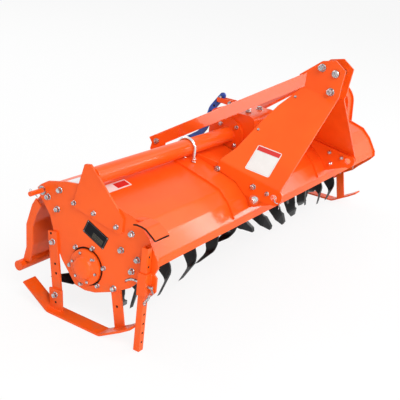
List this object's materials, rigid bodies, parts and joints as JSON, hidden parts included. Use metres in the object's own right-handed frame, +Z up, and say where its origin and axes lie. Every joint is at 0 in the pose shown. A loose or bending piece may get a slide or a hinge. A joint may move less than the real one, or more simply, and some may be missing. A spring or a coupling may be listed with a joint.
{
  "type": "rotavator",
  "caption": "Tractor-mounted rotary tiller with an orange tube frame, a hitch mast, a side-driven rotor of L-shaped blades under a bent hood, and a hinged trailing board.",
  "frame": {"origin": "on the floor, under the middle of the whole machine's width and length", "axes": "+X to the machine's right seen from behind, along the rotor; +Y to the rear, towards the trailing board; +Z up"},
  "size_m": [2.13, 0.8, 0.944],
  "materials": {
    "orange_paint": "glossy orange enamel",
    "blue_paint": "glossy blue enamel",
    "black_steel": "satin black paint over forged steel",
    "zinc": "bright zinc plate",
    "bare_steel": "machined steel, lightly oiled"
  },
  "bodies": {
    "chassis": {"bar_guide": "orange_paint", "bearing_cap": "orange_paint", "bearing_housing": "orange_paint", "brace_left": "orange_paint", "brace_lugs": "orange_paint", "brace_right": "orange_paint", "cross_tube_left": "orange_paint", "cross_tube_right": "orange_paint", "gearbox": "orange_paint", "gearbox_cover": "orange_paint", "hinge_rod": "orange_paint", "hitch_cheek_left": "orange_paint", "hitch_cheek_right": "orange_paint", "hitch_saddle_left": "orange_paint", "hitch_saddle_right": "orange_paint", "hood": "orange_paint", "mast_plate_left": "orange_paint", "mast_plate_right": "orange_paint", "mast_spacers": "zinc", "side_gear_case": "orange_paint", "side_gear_cover": "orange_paint", "side_plate_left": "orange_paint", "side_plate_right": "orange_paint", "skid_left": "orange_paint", "skid_right": "orange_paint", "skid_straps_left": "orange_paint", "skid_straps_right": "orange_paint", "stand_guard": "orange_paint", "stand_pin": "zinc", "stand_sleeve": "orange_paint", "tube_end_plate": "orange_paint"},
    "rotor": {"rotor_shaft": "black_steel", "rotor_flanges": "black_steel", "blades_left_hand": "black_steel", "blades_right_hand": "black_steel"},
    "input": {"input_shaft": "bare_steel"},
    "board": {"trailing_board": "orange_paint", "board_end_plates": "orange_paint", "board_edge_tube": "orange_paint", "bar_lug": "orange_paint", "bar_pin": "zinc"},
    "bar": {"gauge_bar": "blue_paint", "stop_bolt": "zinc"},
    "stand": {"parking_stand": "orange_paint"}
  },
  "joints": [
    {"name": "rotor_spin", "type": "hinge", "parent": "chassis", "child": "rotor", "pos_m": [0, 0.057, 0.221], "axis": [1, 0, 0], "continuous": true},
    {"name": "input_shaft_spin", "type": "hinge", "parent": "chassis", "child": "input", "pos_m": [0, -0.1, 0.554], "axis": [0, 1, 0], "continuous": true},
    {"name": "board_hinge", "type": "hinge", "parent": "chassis", "child": "board", "pos_m": [0, 0.282, 0.443], "axis": [1, 0, 0], "range_deg": [0, 40]},
    {"name": "position_bar", "type": "hinge", "parent": "board", "child": "bar", "pos_m": [0, 0.329, 0.447], "axis": [1, 0, 0], "range_deg": [-40, 0]},
    {"name": "stand_slide", "type": "slide", "parent": "chassis", "child": "stand", "axis": [0, 0, 1], "range_m": [0, 0.061]}
  ],
  "couplings": [
    {"joint": "input_shaft_spin", "follows": "rotor_spin", "ratio": 2.45},
    {"joint": "position_bar", "follows": "board_hinge", "ratio": -0.953}
  ]
}
